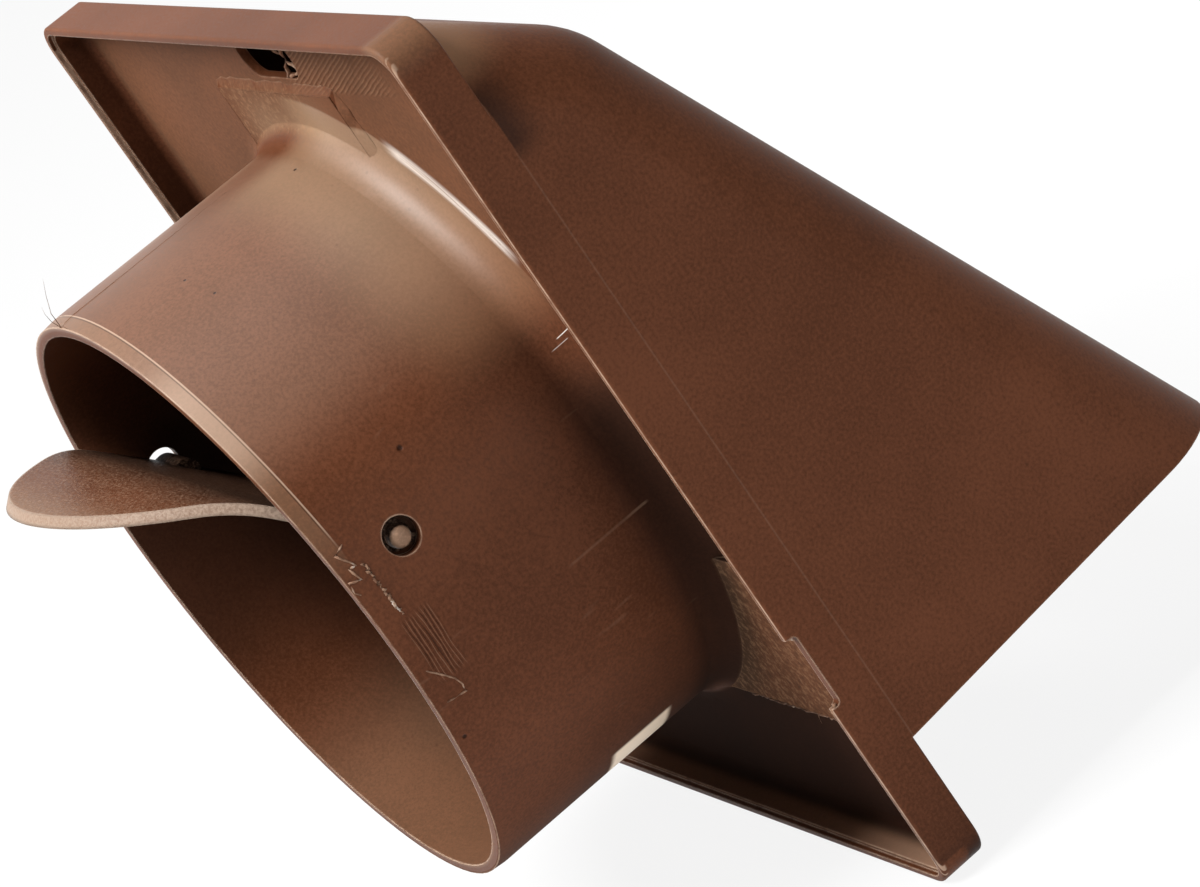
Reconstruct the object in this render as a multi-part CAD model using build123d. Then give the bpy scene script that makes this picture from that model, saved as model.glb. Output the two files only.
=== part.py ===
from build123d import *
from OCP.BRepFilletAPI import BRepFilletAPI_MakeFillet
import os
from math import cos, radians, sin, tan

os.makedirs("parts", exist_ok=True)

# Hooded wall vent, seen as it hangs: X to the right from outside, Y into the wall, Z up.
# The origin is on the duct axis, in the plane of the flange's rear edge. Sizes in mm and degrees.

# Square flange, a shallow tray open to the wall
FLANGE = 140.0
FLANGE_DEPTH = 7.2
FLANGE_CORNER = 5.2
FLANGE_EDGE = 0.5
RIM = 1.8
RIM_STEP_DEPTH = 0.8
RIM_STEP_WIDTH = 0.6
WEB = 1.4
WEB_CORNER = 1.5

# Raised lands on the web, above the spigot and across the vent below it
LAND = 0.8
TOP_LAND_WIDTH = 44.0
TOP_LAND_ABOVE_SPIGOT = 7.6
LOW_LAND_TOP = -20.0
LOW_LAND_BASE = -47.7

# Oblong opening in the web, close under the top rim
SLOT_LENGTH = 20.0
SLOT_HEIGHT = 7.0
SLOT_SIDEWAYS = -4.5
SLOT_BELOW_RIM = 2.2

# Shallow nick in the rear edge of the left rim
NICK_TOP = -26.8
NICK_LENGTH = 11.7
NICK_DEPTH = 1.5
NICK_CORNER = 0.7

# Round spigot that enters the duct
SPIGOT_DIAMETER = 98.7
SPIGOT_LENGTH = 38.5
SPIGOT_WALL = 1.8
SPIGOT_ROOT = 5.0
LEAD_IN_LENGTH = 2.4
LEAD_IN_DEPTH = 0.25

# Hood over the front: sloped top, steep front, straight cheeks, mouth open below
HOOD_WALL = 1.8
HOOD_TOP_DROP = 1.3
RIDGE_FORWARD = 19.3
TOP_SLOPE = 37.5
FRONT_SLOPE = 65.1
RIDGE_RADIUS = 17.0
HOOD_EDGE = 12.5
HOOD_EDGE_AT_FLANGE = 17.0
MOUTH_ABOVE_BASE = 20.9
MOUTH_TILT = 4.5

# Pivot of the flap, in two plain holes through the spigot's wall
PIVOT_FROM_END = 10.0
PIVOT_HEIGHT = 10.95
PIP_DIAMETER = 3.2
PIP_DOME = 1.2
PIP_SHY = 0.1
PIVOT_HOLE_DIAMETER = 5.3
PIP_SEAT_CLEARANCE = 0.7
BOSS_DIAMETER = 4.4
BOSS_LENGTH = 9.0

# Back-draught flap: a disc with a cranked upper end, shown part open
FLAP_CLEARANCE = 0.65
FLAP_THICKNESS = 1.6
FLAP_OPEN = 42.3
CRANK_START = 14.8
CRANK_RADIUS = 20.0
CRANK_ANGLE = 26.0

# Margin by which cuts run past the material
PAST = 2.0

flange_half = FLANGE / 2
flange_front = -FLANGE_DEPTH
web_rear = flange_front + WEB
spigot_radius = SPIGOT_DIAMETER / 2
bore_radius = spigot_radius - SPIGOT_WALL
hood_top = flange_half - HOOD_TOP_DROP
pivot_y = SPIGOT_LENGTH - PIVOT_FROM_END
pip_drop = (PIVOT_HOLE_DIAMETER - PIP_DIAMETER) / 2 - PIP_SEAT_CLEARANCE


def along_y(face, rear, front):
    """Solid swept from the plane Y = rear forward to Y = front."""
    return extrude(Plane.XZ.offset(-rear) * face, amount=rear - front)


def box(x, y, z):
    """Solid between pairs of X, Y and Z limits."""
    size = Box(x[1] - x[0], y[1] - y[0], z[1] - z[0])
    return Pos((x[0] + x[1]) / 2, (y[0] + y[1]) / 2, (z[0] + z[1]) / 2) * size


def crossing(first, second):
    """Point (y, z) where two lines z = height + rise * y cross."""
    y = (first[0] - second[0]) / (second[1] - first[1])
    return (y, first[0] + first[1] * y)


def hood_form(inset, back, lower):
    """Solid hood shape forward of Y = back, drawn in by inset, its mouth plane let down by lower."""
    top_rise = tan(radians(TOP_SLOPE))
    front_rise = tan(radians(FRONT_SLOPE))
    mouth_rise = -tan(radians(MOUTH_TILT))
    ridge_y = flange_front - RIDGE_FORWARD
    ridge_z = hood_top - RIDGE_FORWARD * top_rise
    top = (ridge_z - ridge_y * top_rise - inset / cos(radians(TOP_SLOPE)), top_rise)
    front = (ridge_z - ridge_y * front_rise - inset / cos(radians(FRONT_SLOPE)), front_rise)
    mouth = (MOUTH_ABOVE_BASE - flange_half - flange_front * mouth_rise - lower, mouth_rise)
    ridge = crossing(top, front)
    lip = crossing(front, mouth)
    corners = [(back, top[0] + top[1] * back), ridge, lip, (back, mouth[0] + mouth[1] * back)]
    side = make_face(Polyline(*corners, close=True))
    side = fillet(side.vertices().sort_by_distance(ridge)[0], RIDGE_RADIUS - inset)
    form = extrude(Plane.YZ * side, amount=flange_half - inset, both=True)
    return round_cheeks(form, back, inset)


def round_cheeks(form, back, inset):
    """Rounds the hood's cheeks into its top and front, more broadly where the top meets the flange."""
    rounding = BRepFilletAPI_MakeFillet(form.wrapped)
    for cheek in form.faces().filter_by(Axis.X):
        top_edge = cheek.edges().filter_by(lambda e: (e @ 0.5).Y < back).sort_by(Axis.Z)[-1]
        rounding.Add(top_edge.wrapped)
    for run in range(1, rounding.NbContours() + 1):
        for place in range(1, rounding.NbEdges(run) + 1):
            edge = Edge(rounding.Edge(run, place))
            at_flange = [abs((edge @ end).Y - back) < WEB / 2 for end in (0, 1)]
            first, last = (HOOD_EDGE_AT_FLANGE if near else HOOD_EDGE for near in at_flange)
            rounding.SetRadius(first - inset, last - inset, run, place)
    return Part(rounding.Shape())


# Flange tray with the hood on its front
rim_outline = RectangleRounded(FLANGE, FLANGE, FLANGE_CORNER)
body = along_y(rim_outline, 0, flange_front)
body = fillet(body.edges().filter_by(lambda e: abs(e.bounding_box().size.Y) < FLANGE_EDGE), FLANGE_EDGE)
body += hood_form(0, flange_front + WEB / 2, 0)
body -= hood_form(HOOD_WALL, flange_front, HOOD_WALL)
inside = FLANGE - 2 * RIM
tray = along_y(RectangleRounded(inside, inside, FLANGE_CORNER - RIM), PAST, web_rear)
tray = fillet(tray.faces().sort_by(Axis.Y)[0].edges(), WEB_CORNER)
body -= tray
step = inside + 2 * RIM_STEP_WIDTH
body -= along_y(RectangleRounded(step, step, FLANGE_CORNER - RIM + RIM_STEP_WIDTH), PAST, -RIM_STEP_DEPTH)

# Lands
land_rear = web_rear + LAND
top_land_half = TOP_LAND_WIDTH / 2
body += box(
    (-top_land_half, top_land_half),
    (web_rear, land_rear),
    (bore_radius * cos(radians(45)), spigot_radius + TOP_LAND_ABOVE_SPIGOT),
)
body += box(
    (RIM - flange_half, flange_half - RIM), (web_rear, land_rear), (LOW_LAND_BASE, LOW_LAND_TOP)
)

# Spigot, with a swept root and a lead-in at its end
root_x = spigot_radius + SPIGOT_ROOT
root_y = web_rear + SPIGOT_ROOT
bend = SPIGOT_ROOT * cos(radians(45))
outline = [
    Polyline(
        (spigot_radius, root_y),
        (spigot_radius, SPIGOT_LENGTH - LEAD_IN_LENGTH),
        (spigot_radius - LEAD_IN_DEPTH, SPIGOT_LENGTH),
        (bore_radius, SPIGOT_LENGTH),
        (bore_radius, flange_front),
        (root_x, flange_front),
        (root_x, web_rear),
    ),
    ThreePointArc((root_x, web_rear), (root_x - bend, root_y - bend), (spigot_radius, root_y)),
]
body += revolve(make_face(outline), axis=Axis.Y)
body -= along_y(Circle(bore_radius), SPIGOT_LENGTH + PAST, flange_front - PAST)

# Pivot holes, slot and nick
hole_z = PIVOT_HEIGHT + pip_drop
body -= extrude(
    Plane.YZ * Pos(pivot_y, hole_z) * Circle(PIVOT_HOLE_DIAMETER / 2),
    amount=spigot_radius + PAST,
    both=True,
)
slot_z = flange_half - RIM - SLOT_BELOW_RIM - SLOT_HEIGHT / 2
body -= along_y(
    Pos(SLOT_SIDEWAYS, slot_z) * SlotOverall(SLOT_LENGTH, SLOT_HEIGHT), web_rear + PAST, flange_front - PAST
)
nick = box(
    (-flange_half - PAST, -flange_half + RIM + PAST),
    (-NICK_DEPTH, PAST),
    (NICK_TOP - NICK_LENGTH, NICK_TOP),
)
body -= fillet(nick.faces().sort_by(Axis.Y)[0].edges().filter_by(Axis.X), NICK_CORNER)
export_step(body, "parts/vent_body.step")

# Flap, drawn closed with the pivot at the origin, then swung open on the pivot
flap_radius = bore_radius - FLAP_CLEARANCE
half_plate = FLAP_THICKNESS / 2
reach = 2 * flap_radius


def crank_point(distance, angle):
    """Point of the bend at a distance from its centre, measured up from the start of the crank."""
    return (CRANK_RADIUS - distance * cos(radians(angle)), CRANK_START + distance * sin(radians(angle)))


def plate_side(distance):
    """One face of the plate: straight, round the bend, then straight to past the rim of the disc."""
    start = crank_point(distance, 0)
    end = crank_point(distance, CRANK_ANGLE)
    tip = (end[0] + reach * sin(radians(CRANK_ANGLE)), end[1] + reach * cos(radians(CRANK_ANGLE)))
    arc = ThreePointArc(start, crank_point(distance, CRANK_ANGLE / 2), end)
    return (start[0], -reach), [Line((start[0], -reach), start), arc, Line(end, tip)], tip


rear_foot, rear_lines, rear_tip = plate_side(CRANK_RADIUS - half_plate)
front_foot, front_lines, front_tip = plate_side(CRANK_RADIUS + half_plate)
plate_outline = rear_lines + [Line(rear_tip, front_tip)] + front_lines + [Line(front_foot, rear_foot)]
flap = extrude(Plane.YZ * make_face(plate_outline), amount=reach, both=True)
flap &= along_y(Pos(0, -PIVOT_HEIGHT) * Circle(flap_radius), reach, -reach)
pip_end = (spigot_radius**2 - PIVOT_HEIGHT**2) ** 0.5 - PIP_SHY
boss_end = (bore_radius**2 - (PIVOT_HEIGHT + BOSS_DIAMETER / 2) ** 2) ** 0.5 - FLAP_CLEARANCE
boss = extrude(Plane.YZ.offset(boss_end - BOSS_LENGTH) * Circle(BOSS_DIAMETER / 2), amount=BOSS_LENGTH)
pip = extrude(Plane.YZ.offset(boss_end) * Circle(PIP_DIAMETER / 2), amount=pip_end - boss_end)
pip = fillet(pip.faces().sort_by(Axis.X)[-1].edges(), PIP_DOME)
pivot = boss + pip
flap += pivot
flap += Rot(Z=180) * pivot
flap = Pos(0, pivot_y, PIVOT_HEIGHT) * Rot(X=-FLAP_OPEN) * flap
export_step(flap, "parts/damper_flap.step")
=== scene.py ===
import math
import random

import bmesh
import bpy
from bpy.props import FloatProperty, FloatVectorProperty, PointerProperty
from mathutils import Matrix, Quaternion, Vector


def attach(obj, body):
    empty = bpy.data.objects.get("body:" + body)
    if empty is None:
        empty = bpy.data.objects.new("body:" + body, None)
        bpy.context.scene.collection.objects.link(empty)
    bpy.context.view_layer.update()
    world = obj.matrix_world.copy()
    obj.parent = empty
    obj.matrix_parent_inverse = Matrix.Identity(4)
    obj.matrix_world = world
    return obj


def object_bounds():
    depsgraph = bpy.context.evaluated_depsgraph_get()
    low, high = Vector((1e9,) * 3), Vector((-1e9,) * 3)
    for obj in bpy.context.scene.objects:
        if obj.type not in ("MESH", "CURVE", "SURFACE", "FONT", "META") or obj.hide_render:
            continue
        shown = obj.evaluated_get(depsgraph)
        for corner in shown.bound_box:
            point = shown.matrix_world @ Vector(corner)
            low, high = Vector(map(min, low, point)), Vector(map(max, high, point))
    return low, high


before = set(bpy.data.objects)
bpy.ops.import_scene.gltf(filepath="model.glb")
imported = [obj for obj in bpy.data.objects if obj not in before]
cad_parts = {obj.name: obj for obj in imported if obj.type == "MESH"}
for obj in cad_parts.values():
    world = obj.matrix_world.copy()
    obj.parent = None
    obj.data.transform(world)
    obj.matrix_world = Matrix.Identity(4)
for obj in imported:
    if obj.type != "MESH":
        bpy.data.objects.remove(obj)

bl_info = {
    "name": "Hooded wall vent",
    "version": (1, 0, 0),
    "blender": (4, 5, 0),
    "location": "View3D > Sidebar > Vent",
    "description": "Finishes a moulded hooded wall vent: plastic, flash, burrs, light and camera",
    "category": "Object",
}

MM = 0.001
CAD_LOW, CAD_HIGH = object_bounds()

# Sizes of the moulding in millimetres, as far as the finish needs them
FLANGE_FRONT = -7.2
RIM_INSIDE = 68.2
# Bands across the rim where its rear-edge highlights are painted
RIM_HIGHLIGHT_LINES = ((69.4, 69.7, 0.1), (68.75, 68.85, 0.08))
WEB_REAR = -5.8
LAND_REAR = -5.0
TOP_LAND_HALF = 22.0
TOP_LAND_TOP = 56.95
LOW_LAND_BASE = -47.7
LOW_LAND_TOP = -20.0
SLOT_LEFT = -14.5
SLOT_LOW = 59.0
NICK = (-38.5, -26.8)
SPIGOT_RADIUS = 49.35
SPIGOT_END = 38.5
SPIGOT_ROOT_START = -1.0
ROOT_EDGE = 56.0
LEAD_IN_START = 36.1
LEAD_IN_DEPTH = 0.25
BORE_RADIUS = 47.55
PIVOT_REACH = 28.5
PIVOT_HOLE_HEIGHT = 11.3
PIVOT_HEIGHT = 10.95
FLAP_RADIUS = 46.9
FLAP_OPEN = math.radians(42.3)

# Marks on the spigot: degrees from the top towards the left cheek, then millimetres along Y
PARTING_ANGLE = -2.4
PARTING_START = 8.0
WELD_ANGLES = (98.0, 98.2)
WELD_REACH = (-3.0, 11.5)
BRUSHED_ANGLES = (88.5, 98.0)
BRUSHED_REACH = (31.4, 35.6)
SLIVER_ANGLES = (145.0, 156.0)
SLIVER_REACH = (7.5, 16.5)
PITS = ((66.3, 21.1, 0.55), (16.1, 23.9, 0.3), (23.9, 23.1, 0.3), (10.5, 1.0, 0.35), (109.7, 37.0, 0.45))

# Marks on the spigot's root: degrees, then millimetres from the axis
STREAK_ANGLES = (34.0, 54.0)
STREAK_RADIUS = 56.0
STREAK_SWEEP = 0.045
STREAK_HALF = 0.95
SCRATCHES = (((68.9, 69.0), (51.2, 54.4), 0.7), ((69.9, 69.97), (50.2, 52.0), 0.4))

# Torn outlines near the spigot's end, in degrees and millimetres along Y
RAGGED = [(76.1 + 10.4 * step / 18, 34.9 - 0.1 * step / 18) for step in range(19)]
TORN = (
    (72.0, 35.4), (72.7, 37.2), (75.8, 35.7), (75.5, 36.9),
    (78.0, 36.4), (77.3, 38.0), (79.0, 38.2), (80.3, 37.4),
)
FLAKE = (
    (95.8, 36.7), (98.0, 35.2), (100.0, 34.0), (101.6, 33.6),
    (103.0, 33.6), (102.8, 35.4), (102.2, 37.4),
)

# Each outline with its share of the burr's height and its wander
END_BURRS = ((RAGGED, 1.0, 0.22), (TORN, 0.7, 0.06), (FLAKE, 0.6, 0.06))

# Burrs at the nick's two ends: offsets from the end, then shares of the burr's height
NICK_LIP = (
    ((0.0, -1.0, 0.3), (0.0, -0.55, 0.15), (0.1, -0.2, -0.1), (0.3, -0.05, -0.6), (0.2, -0.12, -1.3)),
    (0.3, 1.0, 1.2, 0.8, 0.25),
)
NICK_HOOK = (
    ((0.1, -0.1, 0.9), (0.15, -0.3, 0.1), (0.2, -0.9, -0.3), (0.25, -1.3, -0.9)),
    (0.3, 0.7, 0.6, 0.25),
)
NICK_BURR_INSET = 0.5

# Threads under the low land: where they start along X
LAND_THREADS = (-60.5, -57.0, -47.0)
LAND_BURR_START = 26.0

# Strands across the slot, from its left end and lower side
SLOT_STRANDS = (
    ((6.4, 0.1), (3.2, 3.2), (1.2, 6.2)),
    ((0.6, 1.4), (3.4, 3.4), (6.2, 6.6)),
    ((1.0, 1.1), (3.0, 0.5), (5.6, 0.3)),
)

# Hairs on top of the spigot's end
END_HAIRS = (
    ((1.6, 38.3, 49.0), (1.2, 38.4, 51.6), (0.6, 37.6, 54.2), (0.1, 36.7, 56.4)),
    ((1.9, 38.3, 49.0), (1.8, 38.9, 50.6), (1.4, 39.1, 52.0), (0.9, 39.0, 53.2)),
    ((-0.6, 38.2, 49.0), (-1.4, 38.6, 49.7), (-2.2, 38.7, 50.4), (-2.6, 38.6, 51.2)),
)

# Wavy marks: radians to a metre or a millimetre across them, and their tilt
COMB_WAVES = 10000.0
COMB_TILT = math.radians(-20.0)
BRUSH_WAVES = 10.0

# Colours of painted shade and painted light, of marks, and of plastic paled in different ways
PAINTED_SHADE = (0.012, 0.0055, 0.0035)
PIT_SHADE = (0.012, 0.006, 0.004)
BRUSH_DARK = (0.02, 0.008, 0.005)
SPECK_DARK = (0.03, 0.012, 0.007)
LAND_TAN = (0.30, 0.17, 0.095)
EDGE_TAN = (0.56, 0.40, 0.29)
PAINTED_LIGHT_TAN = (0.42, 0.29, 0.18)
REFLECTION_TAN = (0.85, 0.68, 0.50)
FLAP_EDGE_TAN = (0.28, 0.205, 0.155)
WHITE = (1.0, 1.0, 1.0, 1.0)

# Features per metre of the noises
SLOW_MOTTLE = 38.0
SCUFF_PATCHES = 55.0
SHADE_PATCHES = 120.0
COMB_DRIFT = 150.0
RIM_LINE_BREAKS = 260.0
SPECK_CELLS = 330.0
EDGE_BREAKS = 420.0
TORN_PATCHES = 700.0
LAND_PITTING = 950.0
FLAP_GRIT = 2400.0

# Skin of the plastic
SKIN = {"IOR": 1.5, "Specular IOR Level": 0.06, "Coat Roughness": 0.48}
ROUGHNESS_SPREAD = (-0.06, 0.07)
SLOW_SHARE = 0.42
GRAIN_RELIEF = 0.35
RAY_SAMPLES = 4

# Height in metres of one unit of relief
BODY_RELIEF = 0.00006
FLAP_RELIEF = 0.00005
TORN_RELIEF = 0.00004

# Reach in metres of the painted shade in corners, and the share of the worn edge's width on the flap
BODY_SHADE_REACH = 0.035
FLAP_SHADE_REACH = 0.03
FLAP_EDGE_SHARE = 2.2

# Stage: place and size of each light in millimetres, floor in metres
KEY_LIGHT = ((60.0, 420.0, 620.0), 400.0)
SHEEN_LIGHT = ((20.0, 70.0, 750.0), 460.0)
FILL_LIGHT = ((-700.0, -70.0, 110.0), 300.0)
FLOOR_HALF = 6.0
FLOOR_GAP = 0.0002
FLOOR_GLOW = 0.88

# Photograph's camera: aim point, bearing, height above the horizon and roll
AIM = (-7.83, -12.93, -11.15)
AIM_DISTANCE = 702.7
BEARING = 253.48
ELEVATION = 18.98
ROLL = 34.65
FOCAL_LENGTH = 148.12
SENSOR_WIDTH = 36.0
CLIP_START = 0.01


class VentPlasticSettings(bpy.types.PropertyGroup):
    """Colours and surface of the brown plastic."""

    deep_brown: FloatVectorProperty(
        name="Deep brown",
        description="Darker tone of the mottled plastic",
        subtype="COLOR",
        size=3,
        min=0.0,
        max=1.0,
        default=(0.0765, 0.0246, 0.0100),
    )
    warm_brown: FloatVectorProperty(
        name="Warm brown",
        description="Lighter tone of the mottled plastic",
        subtype="COLOR",
        size=3,
        min=0.0,
        max=1.0,
        default=(0.1270, 0.0430, 0.0190),
    )
    # Also painted as light on the low lip and as a highlight on the flap's pips
    worn_tan: FloatVectorProperty(
        name="Worn tan",
        description="Plastic paled by rubbing, along edges and in scuffs",
        subtype="COLOR",
        size=3,
        min=0.0,
        max=1.0,
        default=(0.40, 0.25, 0.165),
    )
    # Also the colour of the painted highlight along the spigot's root
    stress_white: FloatVectorProperty(
        name="Stress white",
        description="Plastic whitened by bending or tearing",
        subtype="COLOR",
        size=3,
        min=0.0,
        max=1.0,
        default=(0.80, 0.73, 0.66),
    )
    roughness: FloatProperty(
        name="Roughness",
        description="Mean roughness of the satin skin",
        subtype="FACTOR",
        min=0.0,
        max=1.0,
        default=0.42,
    )
    grain_size: FloatProperty(
        name="Grain",
        description="Width of the fine grain in the skin",
        subtype="DISTANCE",
        unit="LENGTH",
        min=0.0001,
        max=0.01,
        default=0.0005,
    )
    edge_width: FloatProperty(
        name="Worn edge",
        description="Width of the rounded and paled edge",
        subtype="DISTANCE",
        unit="LENGTH",
        min=0.0,
        max=0.005,
        default=0.0004,
    )


class VentFlashSettings(bpy.types.PropertyGroup):
    """Sizes of the flash, strands and burrs left by the mould."""

    strand: FloatProperty(
        name="Strand",
        description="Thickness of a hair of flash",
        subtype="DISTANCE",
        unit="LENGTH",
        min=0.00002,
        max=0.002,
        default=0.00014,
    )
    burr: FloatProperty(
        name="Burr",
        description="Height of a torn burr",
        subtype="DISTANCE",
        unit="LENGTH",
        min=0.00005,
        max=0.003,
        default=0.00032,
    )
    slope: FloatProperty(
        name="Land slope",
        description="Reach of the soft slope round the top land",
        subtype="DISTANCE",
        unit="LENGTH",
        min=0.0005,
        max=0.006,
        default=0.0028,
    )
    parting: FloatProperty(
        name="Parting ridge",
        description="Width of the ridge where the mould halves met",
        subtype="DISTANCE",
        unit="LENGTH",
        min=0.00005,
        max=0.003,
        default=0.0003,
    )


class VentStageSettings(bpy.types.PropertyGroup):
    """Light and floor of the studio."""

    key_power: FloatProperty(
        name="Key light",
        description="Large soft light from above and behind the vent",
        subtype="POWER",
        unit="POWER",
        min=0.0,
        default=10.5,
    )
    sheen_power: FloatProperty(
        name="Sheen light",
        description="Weak light from overhead, which glances off the spigot",
        subtype="POWER",
        unit="POWER",
        min=0.0,
        default=2.2,
    )
    fill_power: FloatProperty(
        name="Fill light",
        description="Soft light from the camera's side",
        subtype="POWER",
        unit="POWER",
        min=0.0,
        default=0.88,
    )
    ambient: FloatProperty(
        name="Ambient",
        description="Strength of the even light from all round",
        min=0.0,
        max=2.0,
        default=0.2,
    )
    floor_white: FloatVectorProperty(
        name="Floor",
        description="Colour of the pale floor",
        subtype="COLOR",
        size=3,
        min=0.0,
        max=1.0,
        default=(0.9, 0.9, 0.9),
    )


# Shader nodes

VECTOR_SOCKETS = ("Vector", "Stretch", "Normal")


class Nodes:
    """A shader tree being laid out; each step adds nodes and gives back an output."""

    def __init__(self, tree):
        self.tree = tree
        tree.nodes.clear()

    def feed(self, socket, value):
        """Links an output to a socket, or sets the socket to a plain value."""
        if isinstance(value, bpy.types.NodeSocket):
            self.tree.links.new(value, socket)
        else:
            socket.default_value = value

    def add(self, kind, feeds=None, **settings):
        """Adds a node with these settings, feeds its inputs by name and gives its outputs."""
        made = self.tree.nodes.new(kind)
        for name, value in settings.items():
            setattr(made, name, value)
        for name, value in (feeds or {}).items():
            self.feed(made.inputs[name], value)
        return made.outputs

    def effect(self, maker, feeds):
        """Places a shared shader group, which its maker builds the first time."""
        group = bpy.data.node_groups.get(maker.__name__) or maker()
        return self.add("ShaderNodeGroup", feeds, node_tree=group)

    def calc(self, operation, first, second=0.0, clamp=False):
        """Output of a Math node."""
        return self.add("ShaderNodeMath", {0: first, 1: second}, operation=operation, use_clamp=clamp)[0]

    def times(self, first, *others):
        """Product of values or masks."""
        for other in others:
            first = self.calc("MULTIPLY", first, other)
        return first

    def plus(self, first, *others):
        """Sum of values."""
        for other in others:
            first = self.calc("ADD", first, other)
        return first

    def minus(self, first, second):
        """Difference of two values."""
        return self.calc("SUBTRACT", first, second)

    def largest(self, first, *others):
        """Largest of values or masks."""
        for other in others:
            first = self.calc("MAXIMUM", first, other)
        return first

    def distance(self, first, second):
        """Length of the diagonal of two offsets."""
        return self.calc("SQRT", self.plus(self.times(first, first), self.times(second, second)))

    def ramp(self, value, low, high, start=0.0, end=1.0):
        """Value turned smoothly from start at low to end at high."""
        feeds = {"Value": value, "From Min": low, "From Max": high, "To Min": start, "To Max": end}
        return self.add("ShaderNodeMapRange", feeds, interpolation_type="SMOOTHSTEP")["Result"]

    def fade(self, value, low, high):
        """Mask that falls from 1 at low to 0 at high."""
        return self.ramp(value, low, high, 1.0, 0.0)

    def window(self, value, low, high, soft):
        """Mask that is 1 between low and high and fades out over soft beyond them."""
        return self.times(self.ramp(value, low - soft, low), self.fade(value, high, high + soft))

    def noise(self, vector, scale, detail=2.0, roughness=0.5):
        """Noise with scale features to a unit of the vector."""
        feeds = {"Vector": vector, "Scale": scale, "Detail": detail, "Roughness": roughness}
        return self.add("ShaderNodeTexNoise", feeds)[0]

    def pair(self, first, second):
        """Vector of two values."""
        return self.add("ShaderNodeCombineXYZ", {"X": first, "Y": second})[0]

    def tint(self, factor, under, over):
        """Colour that goes from under to over with factor."""
        return self.add("ShaderNodeMix", {0: factor, 6: under, 7: over}, data_type="RGBA")[2]


def start_group(name, inputs, outputs):
    """Empty shader group: its nodes, what it is given and what it puts out."""
    tree = bpy.data.node_groups.new(name, "ShaderNodeTree")
    for side, sockets in (("INPUT", inputs), ("OUTPUT", outputs)):
        for socket in sockets:
            kind = "NodeSocketVector" if socket in VECTOR_SOCKETS else "NodeSocketFloat"
            tree.interface.new_socket(socket, in_out=side, socket_type=kind)
    nodes = Nodes(tree)
    return nodes, nodes.add("NodeGroupInput"), tree.nodes.new("NodeGroupOutput").inputs


def moulded_grain():
    """Fine grain, slow mottle and specks of a moulded skin."""
    nodes, given, out = start_group("moulded_grain", ["Vector", "Grain"], ["Mottle", "Height", "Speck"])
    fine = nodes.noise(given["Vector"], nodes.calc("DIVIDE", 1.0, given["Grain"]), 3.0, 0.62)
    slow = nodes.noise(given["Vector"], SLOW_MOTTLE, 4.0, 0.55)
    feeds = {"Vector": given["Vector"], "Scale": SPECK_CELLS, "Randomness": 1.0}
    cells = nodes.add("ShaderNodeTexVoronoi", feeds)["Distance"]
    mottle = nodes.plus(nodes.times(slow, SLOW_SHARE), nodes.times(fine, 1.0 - SLOW_SHARE))
    nodes.feed(out["Mottle"], nodes.ramp(mottle, 0.34, 0.66))
    nodes.feed(out["Height"], fine)
    nodes.feed(out["Speck"], nodes.fade(cells, 0.05, 0.11))
    return nodes.tree


def hairline_scuffs():
    """Thin scratches that run along the axis with the smallest stretch."""
    nodes, given, out = start_group("hairline_scuffs", ["Vector", "Stretch", "Amount"], ["Mask"])
    feeds = {0: given["Vector"], 1: given["Stretch"]}
    lines = nodes.noise(nodes.add("ShaderNodeVectorMath", feeds, operation="MULTIPLY")[0], 1.0, 1.0)
    patches = nodes.noise(given["Vector"], SCUFF_PATCHES)
    edge = nodes.minus(0.74, given["Amount"])
    thin = nodes.calc("MULTIPLY", nodes.minus(lines, edge), 14.0, clamp=True)
    nodes.feed(out["Mask"], nodes.times(thin, nodes.ramp(patches, 0.5, 0.66)))
    return nodes.tree


def edge_wear():
    """Rounded normal and broken pale mask along sharp edges."""
    nodes, given, out = start_group("edge_wear", ["Vector", "Width"], ["Mask", "Normal"])
    rounded = nodes.add("ShaderNodeBevel", {"Radius": given["Width"]}, samples=RAY_SAMPLES)["Normal"]
    flat = nodes.add("ShaderNodeNewGeometry")["Normal"]
    turn = nodes.add("ShaderNodeVectorMath", {0: rounded, 1: flat}, operation="DOT_PRODUCT")["Value"]
    broken = nodes.noise(given["Vector"], EDGE_BREAKS, 3.0, 0.6)
    worn = nodes.ramp(nodes.minus(1.0, turn), 0.015, 0.16)
    nodes.feed(out["Mask"], nodes.times(worn, nodes.ramp(broken, 0.3, 0.6, 0.35, 1.0)))
    nodes.feed(out["Normal"], rounded)
    return nodes.tree


def crevice_shade():
    """Ambient-occlusion mask of the corners and hollows, where shade is painted."""
    nodes, given, out = start_group("crevice_shade", ["Vector", "Reach"], ["Mask"])
    feeds = {"Distance": given["Reach"]}
    opened = nodes.add("ShaderNodeAmbientOcclusion", feeds, samples=RAY_SAMPLES)["AO"]
    uneven = nodes.ramp(nodes.noise(given["Vector"], SHADE_PATCHES, 3.0), 0.2, 0.6, 0.8, 1.0)
    nodes.feed(out["Mask"], nodes.times(nodes.fade(opened, 0.15, 0.92), uneven))
    return nodes.tree


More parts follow.
